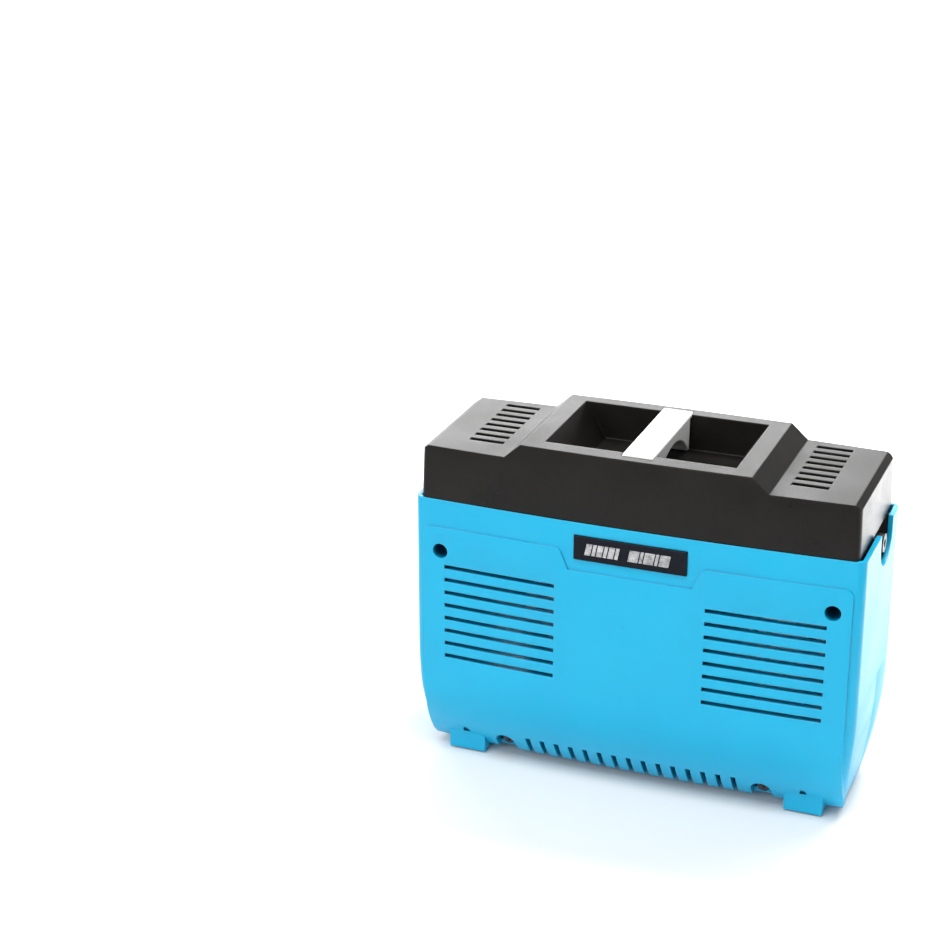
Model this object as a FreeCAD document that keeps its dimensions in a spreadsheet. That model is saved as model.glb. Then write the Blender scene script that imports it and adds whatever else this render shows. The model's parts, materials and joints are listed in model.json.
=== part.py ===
import FreeCAD, Part
import math
import os
import re
import Sketcher
from FreeCAD import Placement, Rotation, Vector

# Small electric air compressor for an airbrush. Units are millimetres, +Z is up,
# -Y is the front with the name plate, and +X is the end with the air outlet.
# The origin is at floor level, under the middle of the overall box.

os.makedirs("parts", exist_ok=True)
doc = FreeCAD.newDocument("compressor")
sheet = doc.addObject("Spreadsheet::Sheet", "Sizes")

sizes = {
    # blue case, made of a front and a rear half
    "case_long": 235.0, "case_deep": 88.0, "seam_height": 148.0, "case_low": 4.0,
    "wall": 2.5, "bow_round": 1960.0, "bow_reach": 7.0, "corner_round": 5.0, "base_round": 2.0,
    "under_height": 45.0, "under_round": 58.0, "end_height": 66.0, "end_round": 280.0,
    "part_line": 10.0, "panel_proud": 1.0, "panel_ends": 5.0, "ridge_drop": 14.8,
    "dip_drop": 26.0, "dip_half": 32.5, "dip_slope": 4.8, "panel_round": 4.0, "panel_reach": 18.0,
    # louvres, base vents and feet
    "louvre_near": 39.6, "louvre_long": 61.0, "louvre_wide": 2.2, "louvre_pitch": 7.27,
    "louvre_drop": 36.6, "vent_pitch": 8.0, "vent_wide": 2.6, "vent_high": 16.5,
    "vent_back": 22.0, "foot_ends": 35.5, "foot_wide": 20.0, "foot_front": 31.0,
    "foot_deep": 14.0, "foot_lift": 1.0, "foot_high": 12.0, "pad_inset": 2.0, "pad_sink": 1.2,
    # case screws, and the bosses that they pass through
    "screw_ends": 14.5, "screw_drop": 28.2, "low_screw_half": 70.0, "low_screw_height": 9.5,
    "bore_round": 4.1, "low_bore_round": 5.5, "bore_floor": 33.0, "low_bore_floor": 20.0, "bore_wall": 1.5,
    "boss_round": 4.6, "stud_round": 4.0, "shank_round": 1.5, "shank_bite": 12.0, "head_round": 3.6,
    "head_high": 2.4, "cross_long": 2.2, "cross_wide": 0.45, "cross_deep": 1.0, "slack": 0.3, "snug": 0.05,
    # black cover with its hand hold
    "cover_ends": 3.5, "cover_back": 2.6, "cover_inset": 0.4, "cover_wall": 2.4, "cover_draft": 1.6,
    "deck_rise": 28.7, "crown_rise": 36.5, "crown_half": 59.6, "deck_near": 68.3,
    "bevel_from": 4.0, "bevel_to": 0.3, "bevel_drop": 2.5, "cover_round": 3.0,
    "hold_half": 49.5, "hold_deep": 64.0, "hold_sink": 18.5, "hold_slope": 12.0,
    "hold_draft": 2.0, "hold_shift": 1.0, "slot_near": 75.0, "slot_long": 18.5, "slot_wide": 3.4,
    "slot_pitch": 7.6, "slot_shift": 5.0, "rim_wall": 2.2, "tab_half": 92.0, "tab_high": 3.0,
    "tab_wide": 12.0, "tab_deep": 11.0, "tab_set": 3.0,
    # grip bar and name plate
    "bar_wide": 16.5, "bar_long": 72.5, "bar_lap": 2.0, "bar_proud": 0.5, "bar_middle": 6.0,
    "arch_half": 27.0, "plate_wide": 59.2, "plate_high": 13.1, "plate_drop": 6.7,
    "plate_thick": 2.0, "plate_sink": 1.2,
    # air outlet in its notch
    "notch_half": 14.0, "notch_drop": 21.0, "notch_deep": 11.0, "notch_skin": 2.0,
    "outlet_round": 4.8, "thread_round": 5.4, "mouth_round": 2.2, "outlet_long": 5.7, "outlet_drop": 9.5,
    "nut_across": 16.0, "nut_thick": 4.0, "collar_thick": 2.5, "tail_long": 16.0,
    "hose_round": 3.5, "barb_round": 2.0, "air_bore": 1.2,
    # switch and mains inlet, both in the left end
    "end_sink": 2.6, "end_frame": 5.0, "lip_thick": 1.0, "switch_y": -14.0, "switch_z": 104.0,
    "switch_wide": 13.0, "switch_high": 19.0, "switch_lip": 1.6, "switch_wall": 1.5, "switch_deep": 17.0,
    "well_deep": 10.0, "tag_long": 7.0, "tag_wide": 4.8, "tag_thick": 0.8, "tag_pitch": 10.0,
    "pivot_deep": 5.0, "pivot_round": 1.0, "rocker_gap": 0.4, "rocker_tilt": 7.0, "rocker_proud": 1.6,
    "rocker_half": 6.9, "keel_deep": 3.5, "keel_half": 4.6, "dish_round": 15.4, "dish_deep": 1.0,
    "inlet_z": 64.0, "inlet_wide": 18.0, "inlet_high": 10.0, "inlet_lip": 1.5, "inlet_deep": 14.0,
    "inlet_floor": 2.0, "lobe_round": 3.6, "inlet_pin": 1.2, "pin_pitch": 8.6, "pin_set": 5.5, "pin_tail": 6.0,
    # pump bed on its rubber mounts, and the stands on it
    "bed_half": 84.0, "bed_deep": 62.0, "bed_thick": 2.0, "bed_height": 20.0, "mount_round": 6.5,
    "mount_x": 46.0, "mount_y": 17.0, "waist_round": 2.0, "nipple_round": 2.0, "button_round": 3.2,
    "button_thick": 2.0, "stand_thick": 4.0, "stand_foot": 12.0, "stand_foot_half": 13.0, "stand_foot_thick": 3.0,
    # pump on its axis, which runs along X
    "pump_y": 0.0, "pump_height": 74.0, "cylinder_start": 24.0, "cylinder_long": 42.0, "piston_round": 12.0,
    "running": 0.05, "cylinder_wall": 4.0, "flange_thick": 4.0, "flange_half": 22.0,
    "fin_round": 20.0, "fin_thick": 1.6, "fin_pitch": 4.4, "piston_long": 16.0, "piston_wall": 3.0,
    "head_gap": 1.0, "stroke": 7.0, "ring_thick": 2.0, "ring_sink": 1.0, "ring_back": 5.0, "rod_round": 4.0,
    "hub_wall": 2.0, "crown_thick": 7.0, "valve_thick": 3.0, "reed_thick": 0.4, "reed_wide": 9.0,
    "reed_long": 15.0, "reed_end": 4.5, "port_round": 2.5, "port_half": 6.0, "cap_long": 18.0, "cap_wall": 4.0,
    "room_gap": 1.5, "room_half": 13.0, "head_fin_deep": 2.5, "head_fin_pitch": 4.0, "bolt_half": 16.5,
    "bolt_round": 2.0, "bolt_head": 3.8, "bolt_head_thick": 3.0, "barb_collar": 4.5, "barb_sink": 4.0,
    "barb_long": 11.0, "stem_round": 2.9, "stem_high": 3.0, "filter_round": 9.0, "filter_high": 10.0,
    "filter_wall": 1.6,
    # electromagnets either side of the armature, and the spring behind it
    "armature_long": 26.0, "armature_half": 8.0, "armature_high": 28.0, "air_gap": 1.0,
    "core_long": 54.0, "core_deep": 24.0, "leg_wide": 9.0, "yoke_thick": 8.0, "core_x": -12.0,
    "window_gap": 1.5, "bracket_thick": 5.0, "bobbin_wall": 1.2, "coil_thick": 7.0, "coil_gap": 0.4,
    "spring_round": 5.5, "wire_round": 0.9, "spring_turns": 7.0, "spring_stand": -62.0, "seat_space": 5.0,
    "seat_rim": 2.5, "rod_past": 4.0,
}
for row, (name, number) in enumerate(sizes.items(), 1):
    sheet.set(f"A{row}", name)
    sheet.set(f"B{row}", str(number))
    sheet.setAlias(f"B{row}", name)
doc.recompute()

# Places worked out from the sizes, written once and used by every piece that meets there.
places = {
    "case_half": "case_long / 2",
    "panel_half": "(case_half - panel_ends)",
    "screw_half": "(case_half - screw_ends)",
    "foot_near": "(case_half - foot_ends)",
    "face_y": "(panel_proud - case_deep / 2)",
    "rear_y": "(case_deep / 2)",
    "front_axis": "(face_y + bow_round)",
    "rear_axis": "(rear_y - bow_round)",
    "floor_z": "(case_low + wall)",
    "screw_z": "(seam_height - screw_drop)",
    "cover_half": "(case_half - cover_ends)",
    "bevel_start": "(cover_half - bevel_from)",
    "bevel_end": "(cover_half - bevel_to)",
    "cover_front": "(face_y + cover_inset)",
    "cover_rear": "(rear_y - cover_back)",
    "cover_y": "((cover_front + cover_rear) / 2)",
    "deck_z": "(seam_height + deck_rise)",
    "crown_z": "(seam_height + crown_rise)",
    "hold_y": "(cover_y + hold_shift)",
    "hold_z": "(crown_z - hold_sink)",
    "bar_top": "(crown_z + bar_proud)",
    "outlet_z": "(seam_height - outlet_drop)",
    "notch_x": "(case_half - notch_deep)",
    "cylinder_bore": "(piston_round + running)",
    "barrel_end": "(cylinder_start + cylinder_long)",
    "valve_end": "(barrel_end + valve_thick)",
    "cap_end": "(valve_end + cap_long)",
    "piston_end": "(barrel_end - head_gap)",
    "piston_start": "(piston_end - piston_long)",
    "crown_x": "(piston_end - crown_thick)",
    "armature_start": "(core_x + stroke - armature_long / 2)",
    "armature_end": "(core_x + stroke + armature_long / 2)",
    "seat_x": "(armature_start - seat_space)",
    "rod_start": "(spring_stand - rod_past)",
    "leg_y": "(armature_half + air_gap)",
    "yoke_y": "(leg_y + core_deep)",
    "window_y": "(yoke_y - yoke_thick)",
    "pad_y": "(foot_front - foot_deep)",
    "end_x": "(end_sink - case_half)",
    "pivot_x": "(end_x + pivot_deep)",
    "bed_top": "(bed_height + bed_thick)",
    "barb_x": "(cap_end - cap_long / 2)",
    "head_top": "(pump_height + flange_half)",
    "head_foot": "(pump_height - flange_half)",
    "hose_start": "(head_top + 5)",
}
nodes = {}


def full(expression):
    """Spell out the places and point the sizes at the sheet."""
    def swap(found):
        word = found[0]
        if word in places:
            return full("(" + places[word] + ")")
        return "Sizes." + word if word in sizes else word
    return re.sub(r"[a-z]+(?:_[a-z]+)*", swap, str(expression))


def value(expression):
    return float(sheet.evalExpression(full(expression)))


def bind(item, prop, expression):
    item.setExpression(prop, full(expression))


def node(name, item):
    item.Label = name
    nodes[name] = item
    return item


# Part primitives and booleans

def box(x, y, z):
    item = doc.addObject("Part::Box", "Block")
    for prop, place, (low, high) in zip(("Length", "Width", "Height"), "xyz", (x, y, z)):
        bind(item, prop, f"({high}) - ({low})")
        bind(item, "Placement.Base." + place, low)
    return item


turns = {
    "x": (Rotation(Vector(0, 1, 0), 90), "yz"),
    "y": (Rotation(Vector(1, 0, 0), -90), "xz"),
    "z": (Rotation(), "xy"),
}


def rod(axis, centre, radius, span):
    item = doc.addObject("Part::Cylinder", "Rod")
    turn, across = turns[axis]
    item.Placement = Placement(Vector(), turn)
    bind(item, "Radius", radius)
    bind(item, "Height", f"({span[1]}) - ({span[0]})")
    bind(item, "Placement.Base." + axis, span[0])
    for place, at in zip(across, centre):
        bind(item, "Placement.Base." + place, at)
    return item


def hexagon(axis, centre, radius, span):
    item = doc.addObject("Part::Prism", "Hexagon")
    turn, across = turns[axis]
    item.Placement = Placement(Vector(), turn)
    item.Polygon = 6
    bind(item, "Circumradius", radius)
    bind(item, "Height", f"({span[1]}) - ({span[0]})")
    bind(item, "Placement.Base." + axis, span[0])
    for place, at in zip(across, centre):
        bind(item, "Placement.Base." + place, at)
    return item


def group(items):
    if len(items) == 1:
        return items[0]
    item = doc.addObject("Part::Compound", "Group")
    item.Links = list(items)
    return item


def fuse(*items):
    item = doc.addObject("Part::MultiFuse", "Fusion")
    item.Shapes = list(items)
    return item


def cut(base, *tools):
    item = doc.addObject("Part::Cut", "Cut")
    item.Base = base
    item.Tool = tools[0] if len(tools) == 1 else fuse(*tools)
    return item


def common(base, tool):
    item = doc.addObject("Part::Common", "Common")
    item.Base = base
    item.Tool = tool
    return item


# PartDesign sketches and features

def sketch(body, plane, offset="0"):
    item = body.newObject("Sketcher::SketchObject", "Outline")
    found = [one for one in body.Origin.OriginFeatures if one.Role == plane + "_Plane"]
    item.AttachmentSupport = [(found[0], "")]
    item.MapMode = "FlatFace"
    bind(item, "AttachmentOffset.Base.z", offset)
    return item


def hold(item, kind, where, expression):
    """Add one dimension to a sketch and tie it to the sheet."""
    number = item.addConstraint(Sketcher.Constraint(kind, *where, value(expression)))
    item.setExpression(f"Constraints[{number}]", full(expression))


def polygon(item, points):
    first = item.GeometryCount
    places_now = [Vector(value(x), value(y), 0) for x, y in points]
    for start, end in zip(places_now, places_now[1:] + places_now[:1]):
        item.addGeometry(Part.LineSegment(start, end))
    count = len(points)
    for step in range(count):
        after = first + (step + 1) % count
        item.addConstraint(Sketcher.Constraint("Coincident", first + step, 2, after, 1))
    for step, (x, y) in enumerate(points):
        hold(item, "DistanceX", (-1, 1, first + step, 1), x)
        hold(item, "DistanceY", (-1, 1, first + step, 1), y)


def arc(item, centre, radius, start, end):
    """Add an arc that runs anticlockwise between two angles."""
    circle = Part.Circle(Vector(*centre, 0), Vector(0, 0, 1), radius)
    return item.addGeometry(Part.ArcOfCircle(circle, start, end))


def scoop(item, centre, radius, level, far, side):
    """Draw the region outside a quarter-round: level is where it starts, far its outer edge."""
    mid_x, mid_y, reach = value(centre[0]), value(centre[1]), value(radius)
    sweep = math.asin((mid_y - value(level)) / reach)
    tip = Vector(mid_x + side * reach, mid_y, 0)
    foot = Vector(mid_x + side * reach * math.cos(sweep), value(level), 0)
    outer = [Vector(value(far), foot.y, 0), Vector(value(far), tip.y, 0)]
    angles = (math.pi, math.pi + sweep) if side < 0 else (-sweep, 0)
    tip_end, foot_end = (1, 2) if side < 0 else (2, 1)
    first = arc(item, (mid_x, mid_y), reach, *angles)
    for start, end in ((foot, outer[0]), (outer[0], outer[1]), (outer[1], tip)):
        item.addGeometry(Part.LineSegment(start, end))
    item.addConstraint(Sketcher.Constraint("Coincident", first, foot_end, first + 1, 1))
    item.addConstraint(Sketcher.Constraint("Coincident", first + 1, 2, first + 2, 1))
    item.addConstraint(Sketcher.Constraint("Coincident", first + 2, 2, first + 3, 1))
    item.addConstraint(Sketcher.Constraint("Coincident", first + 3, 2, first, tip_end))
    hold(item, "DistanceX", (-1, 1, first, 3), centre[0])
    hold(item, "DistanceY", (-1, 1, first, 3), centre[1])
    hold(item, "Radius", (first,), radius)
    item.addConstraint(Sketcher.Constraint("Horizontal", first + 1))
    item.addConstraint(Sketcher.Constraint("Vertical", first + 2))
    item.addConstraint(Sketcher.Constraint("Horizontal", first + 3))
    hold(item, "DistanceX", (-1, 1, first + 2, 1), far)
    hold(item, "DistanceY", (-1, 1, first + 1, 1), level)
    hold(item, "DistanceY", (-1, 1, first + 3, 2), centre[1])


def upright(item, x):
    """Draw a construction line along the sketch's second axis, to turn a groove about."""
    at = item.GeometryCount
    item.addGeometry(Part.LineSegment(Vector(value(x), 0, 0), Vector(value(x), 50, 0)), True)
    item.addConstraint(Sketcher.Constraint("Vertical", at))
    hold(item, "DistanceX", (-1, 1, at, 1), x)
    hold(item, "DistanceY", (-1, 1, at, 1), "0")
    hold(item, "DistanceY", (at, 1, at, 2), "50")


def pad(body, outline, length, draft=None):
    item = body.newObject("PartDesign::Pad", "Pad")
    item.Profile = outline
    bind(item, "Length", length)
    if draft is not None:
        bind(item, "TaperAngle", "-(" + draft + ")")
    body.Tip = item
    doc.recompute()
    return item


def pocket(body, outline, length, both_ways=False):
    before = body.Shape.Volume
    item = body.newObject("PartDesign::Pocket", "Pocket")
    item.Profile = outline
    item.Reversed = True
    item.Midplane = both_ways
    bind(item, "Length", length)
    body.Tip = item
    doc.recompute()
    assert body.Shape.Volume < before, "a pocket cut nothing"
    return item


def groove(body, outline, angle):
    before = body.Shape.Volume
    item = body.newObject("PartDesign::Groove", "Groove")
    item.Profile = outline
    item.ReferenceAxis = (outline, ["Axis0"])
    item.Midplane = True
    item.Angle = angle
    body.Tip = item
    doc.recompute()
    assert body.Shape.Volume < before, "a groove cut nothing"
    return item


def round_off(body, radius, wanted):
    """Fillet the edges whose middle point passes the test."""
    base = body.Tip
    found = []
    for number, edge in enumerate(base.Shape.Edges, 1):
        middle = edge.valueAt((edge.FirstParameter + edge.LastParameter) / 2)
        if wanted(edge, middle):
            found.append(f"Edge{number}")
    item = body.newObject("PartDesign::Fillet", "Fillet")
    item.Base = (base, found)
    bind(item, "Radius", radius)
    body.Tip = item
    doc.recompute()
    return item


def bowed_plan(item, half, front_radius, rear_radius):
    """Draw a plan with straight ends and gently bowed front and rear edges."""
    reach = value(half)
    edges = []
    for axis, radius, side in (("front_axis", front_radius, -1), ("rear_axis", rear_radius, 1)):
        swing = value(radius)
        lean = math.asin(reach / swing)
        arc(item, (0, value(axis)), swing, side * math.pi / 2 - lean, side * math.pi / 2 + lean)
        edges.append(value(axis) + side * swing * math.cos(lean))
    for side in (-1, 1):
        item.addGeometry(Part.LineSegment(Vector(side * reach, edges[0], 0), Vector(side * reach, edges[1], 0)))
    for arc_end, line, line_end in (((0, 1), 2, 1), ((0, 2), 3, 1), ((1, 2), 2, 2), ((1, 1), 3, 2)):
        item.addConstraint(Sketcher.Constraint("Coincident", *arc_end, line, line_end))
    for number, axis, radius in ((0, "front_axis", front_radius), (1, "rear_axis", rear_radius)):
        item.addConstraint(Sketcher.Constraint("PointOnObject", number, 3, -2))
        hold(item, "DistanceY", (-1, 1, number, 3), axis)
        hold(item, "Radius", (number,), radius)
    for line, x in ((2, f"-({half})"), (3, half)):
        item.addConstraint(Sketcher.Constraint("Vertical", line))
        hold(item, "DistanceX", (-1, 1, line, 1), x)


def is_corner(edge, middle):
    """True for the four upright corner edges, curved at their foot."""
    box_now = edge.BoundBox
    return box_now.ZLength > 3 and box_now.XLength < 12 and abs(middle.x) > value("case_half") - 12


def case_block(inset, low, high, rounded=False):
    """The case's outer form, or the same form drawn in by inset on every side."""
    body = doc.addObject("PartDesign::Body", "CaseForm")
    plan = sketch(body, "XY", low)
    bowed_plan(plan, f"case_half - ({inset})", f"bow_round - ({inset})", f"bow_round - ({inset})")
    pad(body, plan, f"({high}) - ({low})")
    radius = f"under_round - ({inset})"
    for face, axis, side in (("face_y", "front_axis", -1), ("rear_y", "rear_axis", 1)):
        under = sketch(body, "YZ")
        centre = (f"{face} - ({side}) * under_round", "under_height")
        scoop(under, centre, radius, f"({low}) - 1", f"{face} + ({side}) * 30", side)
        upright(under, axis)
        groove(body, under, 10)
    for side in (-1, 1):
        under = sketch(body, "XZ")
        centre = (f"({side}) * (case_half - end_round)", "end_height")
        far = f"({side}) * (case_half + 20)"
        scoop(under, centre, f"end_round - ({inset})", f"({low}) - 1", far, side)
        pocket(body, under, "case_deep * 2", both_ways=True)
    if rounded:
        round_off(body, "corner_round", is_corner)
        bottom = value(low)
        round_off(body, "base_round", lambda edge, middle: abs(edge.BoundBox.ZMax - bottom) < 0.01)
    return body


# Blue case

def screw_places():
    """Each case screw: its x and z, its counterbore's radius and how far in that ends."""
    for side in (-1, 1):
        yield f"({side}) * screw_half", "screw_z", "bore_round", "bore_floor"
        yield f"({side}) * low_screw_half", "low_screw_height", "low_bore_round", "low_bore_floor"


def louvres(face):
    """Eight slots at each side of a face."""
    slots = []
    for across in (-1, 1):
        near, far = "louvre_near", "(louvre_near + louvre_long)"
        x = (near, far) if across > 0 else ("-" + far, "-" + near)
        for step in range(8):
            middle = f"(seam_height - louvre_drop - {step} * louvre_pitch)"
            z = (f"{middle} - louvre_wide / 2", f"{middle} + louvre_wide / 2")
            slots.append(box(x, (f"{face} - bow_reach", f"{face} + bow_reach"), z))
    return slots


def base_vents(side):
    slots = []
    for step in range(-7, 8):
        x = (f"{step} * vent_pitch - vent_wide / 2", f"{step} * vent_pitch + vent_wide / 2")
        y = ("face_y - 2", "-vent_back") if side < 0 else ("vent_back", "rear_y + 2")
        slots.append(box(x, y, ("0", "vent_high")))
    return slots


def foot_blocks(side):
    blocks = []
    for across in (-1, 1):
        near, far = "foot_near", "(foot_near + foot_wide)"
        x = (near, far) if across > 0 else ("-" + far, "-" + near)
        y = ("-foot_front", "-pad_y") if side < 0 else ("pad_y", "foot_front")
        blocks.append((x, y))
    return blocks


def foot_recess(x, y, gap):
    """The pocket under a foot, or with no gap the pad that fills it."""
    x = (f"{x[0]} + pad_inset - ({gap})", f"{x[1]} - pad_inset + ({gap})")
    y = (f"{y[0]} + pad_inset - ({gap})", f"{y[1]} - pad_inset + ({gap})")
    return box(x, y, ("0", "foot_lift + pad_sink"))


def panel_block():
    """The raised front panel, whose top edge dips under the name plate."""
    form = case_block("-panel_proud", "case_low", "seam_height")
    body = doc.addObject("PartDesign::Body", "PanelOutline")
    outline = sketch(body, "XZ", "-(face_y + panel_reach)")
    ridge = "seam_height - ridge_drop"
    dip = "seam_height - dip_drop"
    right = [("dip_half", dip), ("dip_half + dip_slope", ridge), ("panel_half", ridge), ("panel_half", "0")]
    left = [(f"-({x})", z) for x, z in reversed(right)]
    polygon(outline, right + left)
    pad(body, outline, "panel_reach * 2")
    upper = value(ridge)

    def is_round(edge, middle):
        return edge.BoundBox.YLength > 20 and abs(middle.z - upper) < 1

    round_off(body, "panel_round", is_round)
    return common(form, body)


def notch_tools():
    """The outlet notch in the right end: a round-bottomed slot open at the top."""
    x = ("case_half - wall - 1", "case_half + 5")
    middle = "seam_height - notch_drop + notch_half"
    y = ("part_line - notch_half", "part_line + notch_half")
    return [box(x, y, (middle, "seam_height + 1")), rod("x", ("part_line", middle), "notch_half", x)]


def tab_block(side, across):
    """A tab under the seam that a cover screw passes through."""
    x, y = cover_screw(side, across)
    return box((f"{x} - tab_wide / 2", f"{x} + tab_wide / 2"), (f"{y} - tab_deep / 2", f"{y} + tab_deep / 2"),
               ("seam_height - tab_high", "seam_height"))


def front_extras(outer):
    """The bosses and counterbore sleeves behind the front half's screws."""
    extras = []
    for x, z, bore, floor in screw_places():
        boss = rod("y", (x, z), "boss_round", (f"face_y + {floor} - wall", "part_line"))
        sleeve = rod("y", (x, z), f"{bore} + bore_wall", ("face_y + wall / 2", f"face_y + {floor}"))
        extras += [common(boss, outer), common(sleeve, outer)]
    return extras


def rear_extras(outer):
    return [common(rod("y", (x, z), "boss_round", ("part_line", "rear_y - wall / 2")), outer)
            for x, z, bore, floor in screw_places()]


def front_tools():
    """Everything that is cut from the front half only."""
    tools = [plate_block("slack / 3", "panel_proud + 1")] + end_openings()
    for x, z, bore, floor in screw_places():
        tools.append(rod("y", (x, z), bore, ("face_y - bow_reach", f"face_y + {floor}")))
        tools.append(rod("y", (x, z), "shank_round + slack", ("face_y", "part_line + 1")))
        if z == "low_screw_height":
            width = (f"{x} - {bore}", f"{x} + {bore}")
            tools.append(box(width, ("face_y - bow_reach", f"face_y + {floor}"), ("0", z)))
    return tools


def rear_tools():
    return [rod("y", (x, z), "shank_round + snug", ("part_line - 1", "part_line + shank_bite + 1"))
            for x, z, bore, floor in screw_places()]


def case_halves():
    outer = case_block("0", "case_low", "seam_height", rounded=True)
    cavity = case_block("wall", "floor_z", "seam_height + 1")
    back_of_end = end_plate(("wall / 2 - case_half", "end_x + wall"), "end_frame + wall")
    halves = (
        (-1, "front_shell", "face_y", ("-case_deep", "part_line"), [panel_block()],
         front_extras(outer) + [back_of_end], front_tools()),
        (1, "rear_shell", "rear_y", ("part_line", "case_deep"), [], rear_extras(outer), rear_tools()),
    )
    for side, name, face, depth, skins, extras, tools in halves:
        feet = [box(x, y, ("foot_lift", "floor_z + foot_high")) for x, y in foot_blocks(side)]
        whole = fuse(outer, *feet, *skins)
        shell = cut(common(whole, box(("-case_long", "case_long"), depth, ("0", "case_long"))), cavity)
        tabs = [tab_block(side, across) for across in (-1, 1)]
        tools += louvres(face) + base_vents(side) + notch_tools()
        tools += [foot_recess(x, y, "slack / 3") for x, y in foot_blocks(side)]
        tools += [rod("z", cover_screw(side, across), "shank_round + slack", ("foot_high", "seam_height + 1"))
                  for across in (-1, 1)]
        node(name, cut(fuse(shell, *extras, *tabs), *tools))


def cover_screw(side, across):
    depth = "(face_y + wall + tab_set + tab_deep / 2)" if side < 0 else "(rear_y - wall - tab_set - tab_deep / 2)"
    return f"(({across}) * tab_half)", depth


def plate_block(gap, front):
    """The name plate's block, or with a gap the pocket that it sits in."""
    z = (f"seam_height - plate_drop - plate_high - ({gap})", f"seam_height - plate_drop + ({gap})")
    x = (f"-plate_wide / 2 - ({gap})", f"plate_wide / 2 + ({gap})")
    return box(x, (f"face_y - ({front})", "face_y + plate_sink"), z)


def end_plate(x, grow):
    """The block behind the switch and the mains inlet, or the recess that they stand in."""
    wide = f"(inlet_wide / 2 + ({grow}))"
    y = (f"switch_y - {wide}", f"switch_y + {wide}")
    return box(x, y, (f"inlet_z - inlet_high / 2 - ({grow})", f"switch_z + switch_high / 2 + ({grow})"))


def end_openings():
    """The recess in the left end, with its cut-outs for the switch and the mains inlet."""
    x = ("-case_half - 5", "end_x + wall + 1")
    half = "switch_wide / 2 + slack / 3"
    tall = "switch_high / 2 + slack / 3"
    wide = "inlet_wide / 2 + slack / 3"
    high = "inlet_high / 2 + slack / 3"
    return [
        end_plate(("-case_half - 5", "end_x"), "end_frame"),
        box(x, (f"switch_y - ({half})", f"switch_y + {half}"), (f"switch_z - ({tall})", f"switch_z + {tall}")),
        box(x, (f"switch_y - ({wide})", f"switch_y + {wide}"), (f"inlet_z - ({high})", f"inlet_z + {high}")),
    ]


def foot_pads():
    names = {(-1, 0): "foot_pad_front_left", (-1, 1): "foot_pad_front_right",
             (1, 0): "foot_pad_rear_left", (1, 1): "foot_pad_rear_right"}
    for side in (-1, 1):
        for which, (x, y) in enumerate(foot_blocks(side)):
            node(names[side, which], foot_recess(x, y, "0"))


def screw(axis, centre, start, long):
    """A pan-head screw with a cross recess, whose head begins at start."""
    head_end = f"({start}) + head_high"
    solid = fuse(rod(axis, centre, "head_round", (start, head_end)),
                 rod(axis, centre, "shank_round", (head_end, f"{head_end} + ({long})")))
    arms = []
    for reaches in (("cross_long", "cross_wide"), ("cross_wide", "cross_long")):
        spans = {axis: (f"({start}) - 1", f"({start}) + cross_deep")}
        for place, at, reach in zip(turns[axis][1], centre, reaches):
            spans[place] = (f"({at}) - {reach}", f"({at}) + {reach}")
        arms.append(box(spans["x"], spans["y"], spans["z"]))
    return cut(solid, *arms)


def case_screws():
    upper = []
    lower = []
    for x, z, bore, floor in screw_places():
        start = f"face_y + {floor} - head_high"
        one = screw("y", (x, z), start, f"part_line + shank_bite - (face_y + {floor})")
        (lower if floor == "low_bore_floor" else upper).append(one)
    node("case_screws_upper", group(upper))
    node("case_screws_lower", group(lower))


# Black cover

def cover_block(inset, low):
    """The cover's outer form, or the same form drawn in by inset."""
    body = doc.addObject("PartDesign::Body", "CoverForm")
    plan = sketch(body, "XY", low)
    reach = f"bow_round - cover_inset - ({inset})"
    bowed_plan(plan, f"cover_half - ({inset})", reach, f"bow_round - cover_back - ({inset})")
    pad(body, plan, f"crown_z - ({inset}) - ({low})", draft="cover_draft")
    round_off(body, f"cover_round - ({inset})", lambda edge, middle: abs(middle.x) > 100 and abs(middle.y) > 30
              and edge.BoundBox.ZLength > 20)
    shift = f"({inset}) * (crown_rise - deck_rise) / (deck_near - crown_half) / 2"
    top = f"crown_z - ({inset})"
    deck = f"deck_z - ({inset})"
    fall = "bevel_drop / (bevel_end - bevel_start)"
    for side in (-1, 1):
        outline = sketch(body, "XZ")
        points = [(f"crown_half - {shift}", top), (f"deck_near - {shift}", deck), (f"bevel_start - {shift}", deck),
                  ("case_half", f"{deck} - (case_half - bevel_start + {shift}) * {fall}"),
                  ("case_half", "crown_z + 1"), (f"crown_half - {shift}", "crown_z + 1")]
        polygon(outline, [(f"({side}) * ({x})", z) for x, z in points])
        pocket(body, outline, "case_deep * 2", both_ways=True)
    return body


def hold_tub(grow, low, over):
    """The hand hold's hollow, narrower at its floor; grow makes the tub wall around it."""
    item = doc.addObject("Part::Wedge", "Tub")
    item.Placement = Placement(Vector(), Rotation(Vector(1, 0, 0), 90))
    bind(item, "Placement.Base.y", "hold_y")
    bind(item, "Placement.Base.z", low)
    slope = "hold_slope / hold_sink"
    draft = "hold_draft / hold_sink"
    tall = f"(crown_z + {over} - ({low}))"
    wide = f"(hold_half + ({grow}) + {over} * {slope})"
    deep = f"(hold_deep / 2 + ({grow}) + {over} * {draft})"
    floor_wide = f"({wide} - {tall} * {slope})"
    floor_deep = f"({deep} - {tall} * {draft})"
    bind(item, "Ymin", "0")
    bind(item, "Ymax", tall)
    for prop, expression in (("Xmin", "-" + floor_wide), ("Xmax", floor_wide), ("Zmin", "-" + floor_deep),
                             ("Zmax", floor_deep), ("X2min", "-" + wide), ("X2max", wide),
                             ("Z2min", "-" + deep), ("Z2max", deep)):
        bind(item, prop, expression)
    return item


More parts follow.
